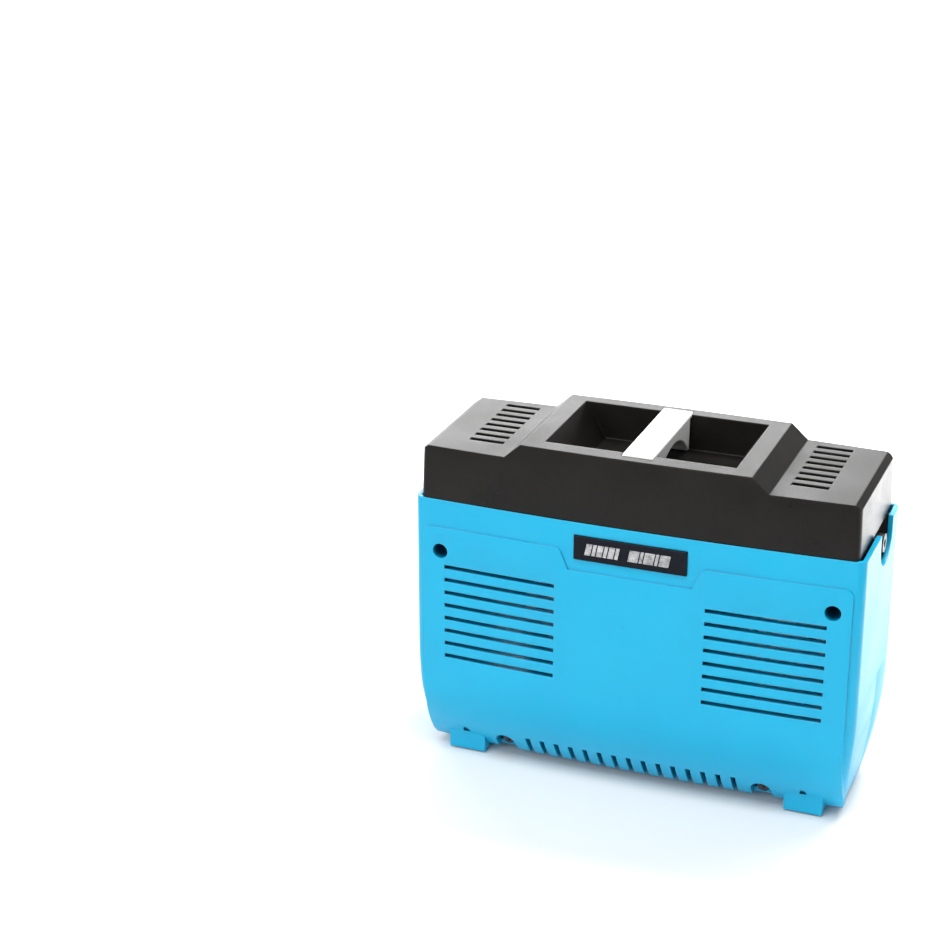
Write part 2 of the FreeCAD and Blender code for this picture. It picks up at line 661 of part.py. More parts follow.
def deck_slots():
    slots = []
    for across in (-1, 1):
        near, far = "slot_near", "(slot_near + slot_long)"
        x = (near, far) if across > 0 else ("-" + far, "-" + near)
        for step in range(8):
            middle = f"(cover_y + slot_shift + ({step} - 3.5) * slot_pitch)"
            y = (f"{middle} - slot_wide / 2", f"{middle} + slot_wide / 2")
            slots.append(box(x, y, ("deck_z - cover_wall - 2", "deck_z + 2")))
    return slots


def bar_lap(gap):
    """The strip of the grip bar that laps the rims, or with a gap its seats."""
    x = (f"-bar_wide / 2 - ({gap})", f"bar_wide / 2 + ({gap})")
    y = (f"hold_y - bar_long / 2 - ({gap})", f"hold_y + bar_long / 2 + ({gap})")
    return box(x, y, ("crown_z - bar_lap", "bar_top"))


def top_cover():
    outer = cover_block("0", "seam_height")
    hollow = cover_block("cover_wall", "seam_height - 1")
    tub = common(hold_tub("rim_wall", "hold_z - rim_wall", "0"), outer)
    shell = cut(outer, hollow)
    bosses = []
    holes = []
    for side in (-1, 1):
        for across in (-1, 1):
            centre = cover_screw(side, across)
            bosses.append(rod("z", centre, "stud_round", ("seam_height", "deck_z - cover_wall / 2")))
            holes.append(rod("z", centre, "shank_round + snug", ("seam_height - 1", "seam_height + shank_bite + 1")))
    solid = fuse(shell, tub, *bosses)
    tools = [hold_tub("0", "hold_z", "2"), bar_lap("slack / 3")] + deck_slots() + holes
    node("top_cover", cut(solid, *tools))


def grip_bar():
    lap = bar_lap("0")
    reach = "(hold_deep / 2 - hold_draft - slack)"
    middle = box(("-bar_wide / 2", "bar_wide / 2"), (f"hold_y - {reach}", f"hold_y + {reach}"),
                 ("hold_z + slack / 3", "bar_top - bar_proud"))
    rise = "(bar_top - bar_middle - hold_z)"
    radius = f"((arch_half * arch_half + {rise} * {rise}) / (2 * {rise}))"
    arch = rod("x", ("hold_y", f"bar_top - bar_middle - {radius}"), radius, ("-bar_wide", "bar_wide"))
    node("grip_bar", cut(fuse(lap, middle), arch))


def cover_screws():
    screws = []
    for side in (-1, 1):
        for across in (-1, 1):
            start = "seam_height - tab_high - head_high"
            screws.append(screw("z", cover_screw(side, across), start, "tab_high + shank_bite"))
    node("cover_screws", group(screws))


def name_plate():
    body = doc.addObject("PartDesign::Body", "NamePlate")
    outline = sketch(body, "XZ", "-(face_y + plate_sink)")
    low = "seam_height - plate_drop - plate_high"
    high = "seam_height - plate_drop"
    polygon(outline, [("-plate_wide / 2", low), ("plate_wide / 2", low),
                      ("plate_wide / 2", high), ("-plate_wide / 2", high)])
    pad(body, outline, "plate_thick")
    node("name_plate", body)


# Air outlet

def outlet():
    """The cup behind the notch, and the threaded fitting that is clamped in its back."""
    half = "(notch_half + notch_skin * 2)"
    low = "(seam_height - notch_drop - notch_skin)"
    back = "(notch_x - notch_skin)"
    cup = box((back, "case_half - wall - slack / 3"), (f"part_line - {half}", f"part_line + {half}"),
              (low, "seam_height - slack"))
    room = box(("notch_x", "case_half"), (f"part_line - {half} + notch_skin", f"part_line + {half} - notch_skin"),
               (f"{low} + notch_skin", "seam_height + 1"))
    centre = ("part_line", "outlet_z")
    hole = rod("x", centre, "thread_round + slack", ("0", "case_half"))
    node("outlet_cup", cut(cup, room, hole))
    shoulder = "(notch_x + nut_thick + slack)"
    thread = rod("x", centre, "thread_round", (f"{back} - 1", shoulder))
    tip = rod("x", centre, "outlet_round", (f"{shoulder} - 1", f"{shoulder} + outlet_long"))
    collar = hexagon("x", centre, "nut_across / 2", (f"{back} - collar_thick", back))
    tail = rod("x", centre, "barb_round", (f"{back} - tail_long", f"{back} - collar_thick + 1"))
    bore = rod("x", centre, "air_bore", ("0", "case_half"))
    mouth = rod("x", centre, "mouth_round", (shoulder, "case_half"))
    node("outlet_fitting", cut(fuse(thread, tip, collar, tail), bore, mouth))
    nut = hexagon("x", centre, "nut_across / 2", ("notch_x", "notch_x + nut_thick"))
    node("outlet_nut", cut(nut, rod("x", centre, "thread_round + snug", ("0", "case_half"))))


# Switch and mains inlet

def end_block(x, y, z, half_wide, half_high):
    return box(x, (f"{y} - ({half_wide})", f"{y} + ({half_wide})"), (f"{z} - ({half_high})", f"{z} + ({half_high})"))


def switch():
    at = ("switch_y", "switch_z")
    half, tall = "switch_wide / 2", "switch_high / 2"
    lip = end_block(("end_x - lip_thick", "end_x"), *at, f"{half} + switch_lip", f"{tall} + switch_lip")
    can = end_block(("end_x", "end_x + switch_deep"), *at, half, tall)
    well = end_block(("end_x - lip_thick - 1", "end_x + well_deep"), *at,
                     f"{half} - switch_wall", f"{tall} - switch_wall")
    pivot = ("pivot_x", "switch_z")
    reach = f"({half} - switch_wall / 3)"
    pin_hole = rod("y", pivot, "pivot_round + running", (f"switch_y - {reach}", f"switch_y + {reach}"))
    tags = [end_block(("end_x + switch_deep", "end_x + switch_deep + tag_long"), "switch_y",
                      f"(switch_z + ({side}) * tag_pitch / 2)", "tag_wide / 2", "tag_thick / 2") for side in (-1, 1)]
    node("switch_housing", cut(fuse(lip, can, *tags), well, pin_hole))
    wide = f"({half} - switch_wall - rocker_gap)"
    slab = end_block(("end_x - rocker_proud", "pivot_x - pivot_round / 2"), *at, wide, "rocker_half")
    keel = end_block(("end_x", "pivot_x + keel_deep"), *at, wide, "keel_half")
    dish = rod("y", ("end_x - rocker_proud - dish_round + dish_deep", "switch_z"), "dish_round",
               ("switch_y - switch_wide", "switch_y + switch_wide"))
    pin_end = f"({reach} - running * 3)"
    pin = rod("y", pivot, "pivot_round", (f"switch_y - {pin_end}", f"switch_y + {pin_end}"))
    rocker = node("switch_rocker", fuse(cut(fuse(slab, keel), dish), pin))
    turned_about = Vector(value("pivot_x"), value("switch_y"), value("switch_z"))
    rocker.Placement = Placement(Vector(), Rotation(Vector(0, 1, 0), -value("rocker_tilt")), turned_about)


def mains_inlet():
    at = ("switch_y", "inlet_z")
    wide, high = "inlet_wide / 2", "inlet_high / 2"
    lip = end_block(("end_x - lip_thick", "end_x"), *at, f"{wide} + inlet_lip", f"{high} + inlet_lip")
    can = end_block(("end_x", "end_x + inlet_deep"), *at, wide, high)
    socket = ("end_x - lip_thick - 1", "end_x + inlet_deep - inlet_floor")
    centres = [(f"(switch_y + ({side}) * pin_pitch / 2)", "inlet_z") for side in (-1, 1)]
    lobes = [rod("x", centre, "lobe_round", socket) for centre in centres]
    waist = end_block(socket, *at, "pin_pitch / 2", "lobe_round - snug * 4")
    holes = [rod("x", centre, "inlet_pin + snug", ("end_x", "end_x + inlet_deep + 1")) for centre in centres]
    node("mains_inlet", cut(fuse(lip, can), *lobes, waist, *holes))
    node("inlet_pins", group([rod("x", centre, "inlet_pin", ("end_x + pin_set", "end_x + inlet_deep + pin_tail"))
                              for centre in centres]))


# Pump bed, its rubber mounts and the two stands

def pump_bed():
    bed = box(("-bed_half", "bed_half"), ("-bed_deep / 2", "bed_deep / 2"), ("bed_height", "bed_top"))
    names = {(-1, -1): "rubber_mount_1", (1, -1): "rubber_mount_2",
             (-1, 1): "rubber_mount_3", (1, 1): "rubber_mount_4"}
    holes = []
    for (across, side), name in names.items():
        centre = (f"({across}) * mount_x", f"({side}) * mount_y")
        holes.append(rod("z", centre, "nipple_round + slack", ("bed_height - 1", "bed_top + 1")))
        puck = rod("z", centre, "mount_round", ("floor_z", "bed_height"))
        waist = doc.addObject("Part::Torus", "Waist")
        bind(waist, "Radius1", "mount_round + waist_round / 2")
        bind(waist, "Radius2", "waist_round")
        bind(waist, "Placement.Base.x", centre[0])
        bind(waist, "Placement.Base.y", centre[1])
        bind(waist, "Placement.Base.z", "(floor_z + bed_height) / 2")
        nipple = rod("z", centre, "nipple_round", ("bed_height", "bed_top + button_thick / 2"))
        button = rod("z", centre, "button_round", ("bed_top + snug", "bed_top + button_thick"))
        node(name, fuse(cut(puck, waist), nipple, button))
    node("pump_bed", cut(bed, *holes))
    for name, x, bore in (("cylinder_stand", "(cylinder_start - stand_thick)", "cylinder_bore"),
                          ("spring_stand", "spring_stand", "rod_round + running")):
        foot = box((x, f"{x} + stand_thick + stand_foot"), ("-stand_foot_half", "stand_foot_half"),
                   ("bed_top", "bed_top + stand_foot_thick"))
        web = box((x, f"{x} + stand_thick"), ("-flange_half", "flange_half"), ("bed_top", "head_top"))
        hole = rod("x", ("pump_y", "pump_height"), bore, (f"{x} - 1", f"{x} + stand_thick + 1"))
        node(name, cut(fuse(foot, web), hole))


# Cylinder, valves and head

def bolt_centres():
    return [(f"(pump_y + ({side}) * bolt_half)", f"(pump_height + ({rise}) * bolt_half)")
            for side in (-1, 1) for rise in (-1, 1)]


def bolt_holes(span):
    return [rod("x", centre, "bolt_round + snug", span) for centre in bolt_centres()]


def square_block(x):
    """A block as wide and as high as the cylinder's flanges."""
    return box(x, ("pump_y - flange_half", "pump_y + flange_half"), ("head_foot", "head_top"))


def cylinder():
    axis = ("pump_y", "pump_height")
    barrel = rod("x", axis, "cylinder_bore + cylinder_wall", ("cylinder_start", "barrel_end"))
    flanges = [square_block(("cylinder_start", "cylinder_start + flange_thick")),
               square_block(("barrel_end - flange_thick", "barrel_end"))]
    fins = []
    for step in range(7):
        start = f"(cylinder_start + flange_thick + fin_pitch * ({step} + 0.6))"
        fins.append(rod("x", axis, "fin_round", (start, f"{start} + fin_thick")))
    bore = rod("x", axis, "cylinder_bore", ("cylinder_start - 1", "barrel_end + 1"))
    holes = bolt_holes(("barrel_end - flange_thick - 1", "barrel_end + 1"))
    node("cylinder", cut(fuse(barrel, *flanges, *fins), bore, *holes))


def reed(x, low, gap):
    """A reed's strip, or with a gap the bed that it lies in."""
    z = (f"pump_height + ({low}) - ({gap})", f"pump_height + ({low}) + reed_long + ({gap})")
    return box(x, (f"pump_y - reed_wide / 2 - ({gap})", f"pump_y + reed_wide / 2 + ({gap})"), z)


def valves():
    ports = [rod("x", ("pump_y", f"pump_height + ({rise}) * port_half"), "port_round",
                 ("barrel_end - 1", "valve_end + 1")) for rise in (-1, 1)]
    suction = ("barrel_end", "barrel_end + reed_thick")
    delivery = ("valve_end - reed_thick", "valve_end")
    beds = [reed((f"{suction[0]} - 1", suction[1]), "-(port_half + reed_end)", "snug"),
            reed((delivery[0], f"{delivery[1]} + 1"), "(port_half + reed_end - reed_long)", "snug")]
    plate = square_block(("barrel_end", "valve_end"))
    node("valve_plate", cut(plate, *beds, *ports, *bolt_holes(("barrel_end - 1", "valve_end + 1"))))
    node("suction_reed", reed(suction, "-(port_half + reed_end)", "0"))
    node("delivery_reed", reed(delivery, "(port_half + reed_end - reed_long)", "0"))


def head():
    cap = square_block(("valve_end", "cap_end"))
    rooms = []
    for rise in (-1, 1):
        near, far = f"(pump_height + ({rise}) * room_gap)", f"(pump_height + ({rise}) * room_half)"
        z = (near, far) if rise > 0 else (far, near)
        rooms.append(box(("valve_end - 1", "cap_end - cap_wall"), ("pump_y - room_half", "pump_y + room_half"), z))
    grooves = []
    for step in range(3):
        start = f"(cap_end - head_fin_pitch * {step + 1} - 1)"
        grooves.append(box((start, f"{start} + head_fin_pitch / 2"),
                           ("pump_y + flange_half - head_fin_deep", "pump_y + flange_half + 1"),
                           ("head_foot - 1", "head_top + 1")))
    way_out = rod("z", ("barb_x", "part_line"), "barb_round + snug", ("pump_height + room_gap + 1", "head_top + 1"))
    way_in = rod("z", ("barb_x", "pump_y"), "stem_round + snug", ("head_foot - 1", "pump_height - room_gap - 1"))
    holes = bolt_holes(("valve_end - 1", "cap_end + 1"))
    node("cylinder_head", cut(cap, *rooms, *grooves, way_out, way_in, *holes))
    barb = rod("z", ("barb_x", "part_line"), "barb_round", ("head_top - barb_sink", "hose_start + barb_long"))
    collar = hexagon("z", ("barb_x", "part_line"), "barb_collar", ("head_top", "hose_start - 1"))
    bore = rod("z", ("barb_x", "part_line"), "air_bore", ("pump_height", "hose_start + barb_long + 1"))
    node("delivery_barb", cut(fuse(barb, collar), bore))
    bolts = []
    for centre in bolt_centres():
        back = "(barrel_end - flange_thick)"
        shank = rod("x", centre, "bolt_round", (f"{back} - bolt_head_thick - 1", "cap_end + 1"))
        top = hexagon("x", centre, "bolt_head", ("cap_end", "cap_end + bolt_head_thick"))
        nut = hexagon("x", centre, "bolt_head", (f"{back} - bolt_head_thick", back))
        bolts.append(fuse(shank, top, nut))
    node("head_bolts", group(bolts))


def intake():
    """The filter cup that hangs under the head, and the felt in it."""
    centre = ("barb_x", "pump_y")
    top = "(head_foot - stem_high)"
    low = f"({top} - filter_high)"
    stem = rod("z", centre, "stem_round", (f"{top} - 1", "head_foot + barb_sink"))
    can = rod("z", centre, "filter_round", (low, top))
    bore = rod("z", centre, "stem_round - filter_wall * 0.7", (f"{low} + 1", "pump_height"))
    well = rod("z", centre, "filter_round - filter_wall", (f"{low} - 1", f"{top} - filter_wall * 2"))
    node("intake_filter", cut(fuse(stem, can), bore, well))
    node("filter_felt", rod("z", centre, "filter_round - filter_wall - snug",
                            (f"{low} + filter_wall / 3", f"{top} - filter_wall * 2 - snug")))


# Moving piston and armature

def piston():
    body = doc.addObject("PartDesign::Body", "Piston")
    outline = sketch(body, "YZ", "piston_start")
    outline.addGeometry(Part.Circle(Vector(0, value("pump_height"), 0), Vector(0, 0, 1), value("piston_round")))
    hold(outline, "DistanceX", (-1, 1, 0, 3), "pump_y")
    hold(outline, "DistanceY", (-1, 1, 0, 3), "pump_height")
    hold(outline, "Radius", (0,), "piston_round")
    pad(body, outline, "piston_long")
    axis = ("pump_y", "pump_height")
    seat = ("piston_end - ring_back", "piston_end - ring_back + ring_thick")
    ring = cut(rod("x", axis, "piston_round", seat), rod("x", axis, "piston_round - ring_sink", seat))
    gap = cut(rod("x", axis, "piston_round + 1", seat), rod("x", axis, "piston_round - ring_sink", seat))
    hollow = rod("x", axis, "piston_round - piston_wall", ("piston_start - 1", "crown_x"))
    hub = rod("x", axis, "rod_round + hub_wall", ("piston_start", "crown_x + 1"))
    hole = rod("x", axis, "rod_round + snug", ("piston_start - 1", "crown_x"))
    node("piston", cut(fuse(cut(body, hollow, gap), hub), hole))
    node("piston_ring", ring)


def armature():
    axis = ("pump_y", "pump_height")
    block = box(("armature_start", "armature_end"), ("pump_y - armature_half", "pump_y + armature_half"),
                ("pump_height - armature_high / 2", "pump_height + armature_high / 2"))
    node("armature", cut(block, rod("x", axis, "rod_round + snug", ("armature_start - 1", "armature_end + 1"))))
    node("piston_rod", rod("x", axis, "rod_round", ("rod_start", "crown_x - slack")))
    seat = rod("x", axis, "spring_round + seat_rim", ("seat_x", "armature_start - snug * 4"))
    node("spring_seat", cut(seat, rod("x", axis, "rod_round + snug", ("seat_x - 1", "armature_start"))))


def return_spring():
    """A helix between the spring stand and the seat on the rod."""
    start = value("spring_stand + stand_thick + wire_round + running * 2")
    long = value("seat_x - wire_round - running * 2") - start
    reach, wire = value("spring_round"), value("wire_round")
    helix = Part.makeHelix(long / value("spring_turns"), long, reach)
    section = Part.Wire(Part.Circle(Vector(reach, 0, 0), Vector(0, 1, 0), wire).toShape())
    item = doc.addObject("Part::Feature", "ReturnSpring")
    item.Shape = Part.Wire(helix.Edges).makePipeShell([section], True, True)
    item.Placement = Placement(Vector(start, value("pump_y"), value("pump_height")), Rotation(Vector(0, 1, 0), 90))
    node("return_spring", item)


# Electromagnets

def core_block(half_x, y, half_z):
    return box((f"core_x - ({half_x})", f"core_x + ({half_x})"), y,
               (f"pump_height - ({half_z})", f"pump_height + ({half_z})"))


def magnets():
    for side, word in ((-1, "front"), (1, "rear")):
        def across(low, high):
            return (f"-({high})", f"-({low})") if side < 0 else (low, high)

        half = "armature_high / 2"
        block = core_block("core_long / 2", across("leg_y", "yoke_y"), half)
        windows = []
        for end in (-1, 1):
            near = f"(core_x + ({end}) * (leg_wide / 2 + window_gap))"
            far = f"(core_x + ({end}) * (core_long / 2 - leg_wide))"
            x = (near, far) if end > 0 else (far, near)
            windows.append(box(x, across("leg_y - 1", "window_y"), ("head_foot", "head_top")))
        node(f"core_{word}", cut(block, *windows))
        strut = box(("core_x - core_long / 2", "core_x + core_long / 2"),
                    across("bed_deep / 2 - bracket_thick", "bed_deep / 2"), ("bed_top", f"pump_height - {half}"))
        node(f"core_bracket_{word}", strut)
        leg_x, leg_z = "(leg_wide / 2 + window_gap + snug * 4)", "(armature_high / 2 + snug * 4)"
        rim_x, rim_z = "(core_long / 2 - leg_wide - coil_gap)", "(armature_high / 2 + coil_thick + bobbin_wall)"
        near, far = "(leg_y + bobbin_wall)", "(window_y - slack)"
        tube = core_block(f"{leg_x} + bobbin_wall", across(near, far), f"{leg_z} + bobbin_wall")
        rims = [core_block(rim_x, across(near, f"{near} + bobbin_wall"), rim_z),
                core_block(rim_x, across(f"{far} - bobbin_wall", far), rim_z)]
        hole = core_block(leg_x, across("leg_y", "yoke_y"), leg_z)
        node(f"bobbin_{word}", cut(fuse(tube, *rims), hole))
        between = across(f"{near} + bobbin_wall + snug", f"{far} - bobbin_wall - snug")
        wound = core_block(f"{rim_x} - bobbin_wall / 2", between, f"{rim_z} - bobbin_wall / 2")
        hollow = core_block(f"{leg_x} + bobbin_wall + snug", across("leg_y", "yoke_y"),
                            f"{leg_z} + bobbin_wall + snug")
        node(f"coil_{word}", cut(wound, hollow))


# Inner air hose, from the head's barb to the outlet's tail

def pipe(points, radius, bore):
    """A tube with one bend, straight at both ends."""
    start, corner, end = points
    back = (start - corner).normalize()
    ahead = (end - corner).normalize()
    reach = min(corner.distanceToPoint(start), corner.distanceToPoint(end)) * 0.45
    into, out = corner + back * reach, corner + ahead * reach
    half_turn = (back * -1).getAngle(ahead) / 2
    swing = reach / math.tan(half_turn)
    centre = corner + (back + ahead).normalize() * math.hypot(swing, reach)
    middle = centre + (corner - centre).normalize() * swing
    path = Part.Wire([Part.LineSegment(start, into).toShape(), Part.Arc(into, middle, out).toShape(),
                      Part.LineSegment(out, end).toShape()])
    shapes = []
    for size in (radius, bore):
        ring = Part.Wire(Part.Circle(start, back, size).toShape())
        shapes.append(path.makePipeShell([ring], True, True))
    return shapes[0].cut(shapes[1])


def air_hose():
    start = Vector(value("barb_x"), value("part_line"), value("hose_start"))
    end = Vector(value("notch_x - notch_skin - collar_thick - slack * 4"), start.y, value("outlet_z"))
    item = doc.addObject("Part::Feature", "AirHose")
    item.Shape = pipe([start, Vector(start.x, start.y, end.z), end], value("hose_round"), value("barb_round + snug"))
    node("air_hose", item)


case_halves()
foot_pads()
case_screws()
top_cover()
grip_bar()
cover_screws()
name_plate()
outlet()
switch()
mains_inlet()
pump_bed()
cylinder()
valves()
head()
intake()
piston()
armature()
return_spring()
magnets()
air_hose()
doc.recompute()

for item in doc.Objects:
    assert not {"Invalid", "Error"} & set(item.State), f"{item.Label} failed"
for name, item in nodes.items():
    assert not item.Shape.isNull() and item.Shape.isValid(), f"{name} has no valid shape"
for name, item in nodes.items():
    item.Shape.exportStep(f"parts/{name}.step")
    extent = item.Shape.BoundBox
    print(f"{name:24s} {len(item.Shape.Solids)} solid(s) {item.Shape.Volume:10.0f} mm3  "
          f"x {extent.XMin:.1f}..{extent.XMax:.1f}  y {extent.YMin:.1f}..{extent.YMax:.1f}  "
          f"z {extent.ZMin:.1f}..{extent.ZMax:.1f}")
print(len(nodes), "parts written")
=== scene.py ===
import json
import math

import bmesh
import bpy
from mathutils import Matrix, Vector


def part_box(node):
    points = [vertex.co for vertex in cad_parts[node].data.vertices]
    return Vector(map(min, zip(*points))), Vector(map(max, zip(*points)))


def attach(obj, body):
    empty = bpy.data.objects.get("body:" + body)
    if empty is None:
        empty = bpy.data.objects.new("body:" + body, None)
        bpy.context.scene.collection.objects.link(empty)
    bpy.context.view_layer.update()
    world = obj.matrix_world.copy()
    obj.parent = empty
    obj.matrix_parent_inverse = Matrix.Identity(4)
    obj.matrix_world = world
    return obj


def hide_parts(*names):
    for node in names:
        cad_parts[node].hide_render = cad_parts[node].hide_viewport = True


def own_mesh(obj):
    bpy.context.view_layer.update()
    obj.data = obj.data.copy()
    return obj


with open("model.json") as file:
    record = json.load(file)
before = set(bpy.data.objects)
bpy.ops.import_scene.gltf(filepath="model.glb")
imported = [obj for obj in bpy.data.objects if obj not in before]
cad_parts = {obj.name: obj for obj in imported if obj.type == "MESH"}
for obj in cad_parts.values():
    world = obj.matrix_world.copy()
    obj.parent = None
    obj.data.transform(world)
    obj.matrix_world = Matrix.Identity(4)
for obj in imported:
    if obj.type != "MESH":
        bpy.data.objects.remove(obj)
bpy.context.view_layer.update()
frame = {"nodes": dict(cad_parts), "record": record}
scene = bpy.context.scene
print("frame loaded")


# small helpers for building node materials

def newMaterial(name):
    material = bpy.data.materials.new(name)
    material.use_nodes = True
    tree = material.node_tree
    tree.nodes.clear()
    out = tree.nodes.new("ShaderNodeOutputMaterial")
    shader = tree.nodes.new("ShaderNodeBsdfPrincipled")
    tree.links.new(shader.outputs["BSDF"], out.inputs["Surface"])
    return material, tree, shader


def addNode(tree, kind, **sockets):
    node = tree.nodes.new(kind)
    for name, value in sockets.items():
        node.inputs[name.replace("_", " ")].default_value = value
    return node


def noiseOf(tree, scale, detail=3.0, roughness=0.5, stretch=(1, 1, 1)):
    place = tree.nodes.new("ShaderNodeTexCoord")
    mapping = addNode(tree, "ShaderNodeMapping", Scale=stretch)
    noise = addNode(tree, "ShaderNodeTexNoise", Scale=scale, Detail=detail, Roughness=roughness)
    tree.links.new(place.outputs["Object"], mapping.inputs["Vector"])
    tree.links.new(mapping.outputs["Vector"], noise.inputs["Vector"])
    return noise


def rangeOf(tree, source, low, high, fromLow=0.3, fromHigh=0.7):
    node = addNode(tree, "ShaderNodeMapRange")
    node.inputs["From Min"].default_value = fromLow
    node.inputs["From Max"].default_value = fromHigh
    node.inputs["To Min"].default_value = low
    node.inputs["To Max"].default_value = high
    tree.links.new(source, node.inputs["Value"])
    return node.outputs["Result"]


def mixOf(tree, factor, first, second, mode="MIX"):
    node = tree.nodes.new("ShaderNodeMix")
    node.data_type = "RGBA"
    node.blend_type = mode
    for socket, value in ((node.inputs["Factor"], factor), (node.inputs[6], first), (node.inputs[7], second)):
        if hasattr(value, "node"):
            tree.links.new(value, socket)
        elif hasattr(value, "__len__"):
            socket.default_value = (*value[:3], 1.0)
        else:
            socket.default_value = value
    return node.outputs[2]


def mathOf(tree, kind, first, second=0.5):
    node = tree.nodes.new("ShaderNodeMath")
    node.operation = kind
    for socket, value in zip(node.inputs, (first, second)):
        if hasattr(value, "node"):
            tree.links.new(value, socket)
        else:
            socket.default_value = value
    return node.outputs[0]


# worn, raised edges: where a softened normal leans away from the flat one
def edgeMask(tree, radius, sharp):
    soft = addNode(tree, "ShaderNodeBevel", Radius=radius)
    soft.samples = 6
    flat = tree.nodes.new("ShaderNodeNewGeometry")
    dot = tree.nodes.new("ShaderNodeVectorMath")
    dot.operation = "DOT_PRODUCT"
    tree.links.new(soft.outputs["Normal"], dot.inputs[0])
    tree.links.new(flat.outputs["Normal"], dot.inputs[1])
    flatDot = 0.999  # where the two normals as good as agree
    return rangeOf(tree, dot.outputs["Value"], 1.0, 0.0, sharp, flatDot)


# one recipe for moulded and painted finishes: colour clouds, grain, worn edges and painted shade in crevices
def finish(name, look):
    material, tree, shader = newMaterial(name)
    clouds = noiseOf(tree, look["cloudScale"], 4.0, 0.6)
    grain = noiseOf(tree, look["grainScale"], 2.0, 0.5, look.get("stretch", (1, 1, 1)))
    colour = mixOf(tree, rangeOf(tree, clouds.outputs["Fac"], 0.0, 1.0), look["colour"], look["colourTwo"])
    if look.get("wear"):
        wear = mathOf(tree, "MULTIPLY", edgeMask(tree, look["edge"] * 1.6, 0.8),
                      rangeOf(tree, clouds.outputs["Fac"], 0.0, look["wear"], 0.4, 0.7))
        colour = mixOf(tree, wear, colour, look["wearColour"])
    # painted shade: ambient occlusion from the part's own shape darkens slots, bores, hollows and the base towards a
    # dark colour
    if look.get("paintedCreviceShade"):
        shade = addNode(tree, "ShaderNodeAmbientOcclusion", Distance=look["paintedShadeReach"])
        shade.samples = 8
        shade.only_local = True
        dark = rangeOf(tree, shade.outputs["AO"], look["paintedCreviceShade"], 0.0, 0.22, 0.62)
        colour = mixOf(tree, dark, colour, look["paintedShadeColour"])
    tree.links.new(colour, shader.inputs["Base Color"])
    rough = mathOf(tree, "ADD", rangeOf(tree, grain.outputs["Fac"], -look["roughSwing"], look["roughSwing"]),
                   rangeOf(tree, clouds.outputs["Fac"], look["rough"] - look["roughSwing"],
                           look["rough"] + look["roughSwing"]))
    tree.links.new(rough, shader.inputs["Roughness"])
    shader.inputs["Metallic"].default_value = look.get("metal", 0.0)
    shader.inputs["IOR"].default_value = look.get("ior", 1.5)
    bump = addNode(tree, "ShaderNodeBump", Strength=look["bump"], Distance=look["bumpDepth"])
    tree.links.new(grain.outputs["Fac"], bump.inputs["Height"])
    if look.get("edge"):
        soft = addNode(tree, "ShaderNodeBevel", Radius=look["edge"])
        soft.samples = 6
        tree.links.new(soft.outputs["Normal"], bump.inputs["Normal"])
    tree.links.new(bump.outputs["Normal"], shader.inputs["Normal"])
    return material


